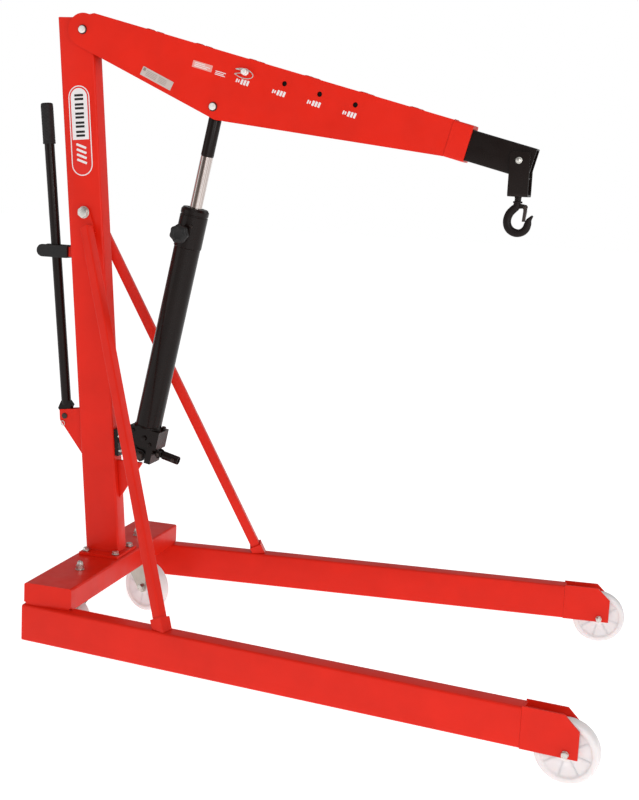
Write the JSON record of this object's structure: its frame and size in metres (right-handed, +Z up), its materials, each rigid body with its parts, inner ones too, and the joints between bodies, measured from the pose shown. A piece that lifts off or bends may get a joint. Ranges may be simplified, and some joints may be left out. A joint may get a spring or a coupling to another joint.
{
  "type": "engine hoist crane",
  "caption": "Red wheeled workshop crane with splayed legs, braced leaning mast, hydraulic ram, telescopic boom, pull handle and swivelling safety hook.",
  "frame": {"origin": "middle of the footprint of the whole crane at floor level", "axes": "+X from the mast towards the hook, +Y to the crane's left seen from behind the mast, +Z up"},
  "size_m": [1.709, 1.0484, 1.752],
  "materials": {
    "red_paint": "gloss powder coat",
    "black_paint": "semi-gloss powder coat",
    "zinc": "zinc plated",
    "chrome": "polished",
    "nylon": "satin moulded nylon",
    "rubber": "matte"
  },
  "bodies": {
    "base_frame": {"left_leg_tube": "red_paint", "left_wheel_fork": "red_paint", "left_front_axle": "zinc", "right_leg_tube": "red_paint", "right_wheel_fork": "red_paint", "right_front_axle": "zinc", "cross_beam": "red_paint", "left_caster_stud": "zinc", "right_caster_stud": "zinc", "mast_foot_plate": "red_paint", "mast_foot_bolt_1": "zinc", "mast_foot_bolt_2": "zinc", "mast_foot_bolt_3": "zinc", "mast_foot_bolt_4": "zinc", "mast_column": "red_paint", "left_brace": "red_paint", "left_brace_socket": "red_paint", "right_brace": "red_paint", "right_brace_socket": "red_paint", "brace_bolt": "zinc", "ram_foot_bracket": "black_paint", "mast_gusset": "red_paint", "ram_foot_pin": "zinc", "handle_bracket": "red_paint", "handle_pin": "zinc", "handle_clip": "rubber", "clip_standoff": "red_paint", "boom_pivot_bolt": "zinc"},
    "left_front_wheel": {"left_front_wheel": "nylon"},
    "right_front_wheel": {"right_front_wheel": "nylon"},
    "left_caster": {"left_caster_fork": "zinc", "left_caster_axle": "zinc"},
    "right_caster": {"right_caster_fork": "zinc", "right_caster_axle": "zinc"},
    "left_caster_wheel": {"left_caster_wheel": "nylon"},
    "right_caster_wheel": {"right_caster_wheel": "nylon"},
    "boom": {"boom_left_plate": "red_paint", "boom_right_plate": "red_paint", "boom_top_plate": "red_paint", "boom_rear_lower_plate": "red_paint", "boom_front_lower_plate": "red_paint", "boom_end_sleeve": "red_paint", "ram_pin_bolt": "zinc", "ram_pin_nut": "zinc"},
    "extension": {"extension_tube": "black_paint", "hanger_bolt": "zinc"},
    "lock_pin": {"lock_pin": "zinc"},
    "hanger": {"hook_hanger": "black_paint"},
    "hook": {"lifting_hook": "black_paint", "hook_nut": "zinc"},
    "latch": {"hook_latch": "zinc"},
    "ram_cylinder": {"ram_base_block": "black_paint", "ram_cylinder": "black_paint", "ram_gland_head": "black_paint"},
    "ram_rod": {"ram_rod": "chrome", "ram_rod_end": "black_paint"},
    "release_knob": {"release_knob": "rubber"},
    "pump_socket": {"pump_socket": "black_paint"},
    "handle": {"tow_handle": "black_paint", "handle_grip": "rubber"}
  },
  "joints": [
    {"name": "boom_lift", "type": "hinge", "parent": "base_frame", "child": "boom", "pos_m": [-0.71156, 0, 1.707], "axis": [0, -1, 0], "range_deg": [-18, 30]},
    {"name": "ram_tilt", "type": "hinge", "parent": "base_frame", "child": "ram_cylinder", "pos_m": [-0.51256, 0, 0.528], "axis": [0, 1, 0], "range_deg": [-1.3, 2.1]},
    {"name": "rod_slide", "type": "slide", "parent": "ram_cylinder", "child": "ram_rod", "axis": [0.192, 0, 0.9814], "range_m": [-0.131, 0.218]},
    {"name": "extension_slide", "type": "slide", "parent": "boom", "child": "extension", "axis": [0.9705, 0, -0.2409], "range_m": [0, 0.314]},
    {"name": "lock_pin_pull", "type": "slide", "parent": "boom", "child": "lock_pin", "axis": [0, -1, 0], "range_m": [0, 0.085]},
    {"name": "hanger_swing", "type": "hinge", "parent": "extension", "child": "hanger", "pos_m": [0.50842, 0, 1.40418], "axis": [0, 1, 0], "range_deg": [-45, 45]},
    {"name": "hook_swivel", "type": "hinge", "parent": "hanger", "child": "hook", "pos_m": [0.50842, 0, 1.29], "axis": [0, 0, 1], "continuous": true},
    {"name": "latch_open", "type": "hinge", "parent": "hook", "child": "latch", "pos_m": [0.52842, 0, 1.288], "axis": [0, 1, 0], "range_deg": [0, 35], "stiffness_Nm_per_rad": 0.12, "springref_deg": -17.19},
    {"name": "pump_socket_tilt", "type": "hinge", "parent": "ram_cylinder", "child": "pump_socket", "pos_m": [-0.45954, 0, 0.53597], "axis": [0, -1, 0], "range_deg": [-21, 42]},
    {"name": "release_knob_turn", "type": "hinge", "parent": "ram_cylinder", "child": "release_knob", "pos_m": [-0.39562, -0.058, 1.16744], "axis": [0, -1, 0], "range_deg": [0, 360]},
    {"name": "handle_tilt", "type": "hinge", "parent": "base_frame", "child": "handle", "pos_m": [-0.75356, 0, 0.619], "axis": [0, -1, 0], "range_deg": [0, 100]},
    {"name": "left_front_wheel_spin", "type": "hinge", "parent": "base_frame", "child": "left_front_wheel", "pos_m": [0.77757, 0.48997, 0.076], "axis": [-0.1033, 0.9946, 0], "continuous": true},
    {"name": "right_front_wheel_spin", "type": "hinge", "parent": "base_frame", "child": "right_front_wheel", "pos_m": [0.77757, -0.48997, 0.076], "axis": [0.1033, 0.9946, 0], "continuous": true},
    {"name": "left_caster_swivel", "type": "hinge", "parent": "base_frame", "child": "left_caster", "pos_m": [-0.60556, 0.19, 0.16], "axis": [0, 0, 1], "continuous": true},
    {"name": "right_caster_swivel", "type": "hinge", "parent": "base_frame", "child": "right_caster", "pos_m": [-0.60556, -0.19, 0.16], "axis": [0, 0, 1], "continuous": true},
    {"name": "left_caster_wheel_spin", "type": "hinge", "parent": "left_caster", "child": "left_caster_wheel", "pos_m": [-0.56276, 0.17609, 0.076], "axis": [0.309, 0.9511, 0], "continuous": true},
    {"name": "right_caster_wheel_spin", "type": "hinge", "parent": "right_caster", "child": "right_caster_wheel", "pos_m": [-0.65056, -0.19, 0.076], "axis": [0, -1, 0], "continuous": true}
  ],
  "couplings": [
    {"joint": "ram_tilt", "follows": "boom_lift", "ratio": 0.065},
    {"joint": "rod_slide", "follows": "boom_lift", "m_per_rad": 0.41253}
  ]
}
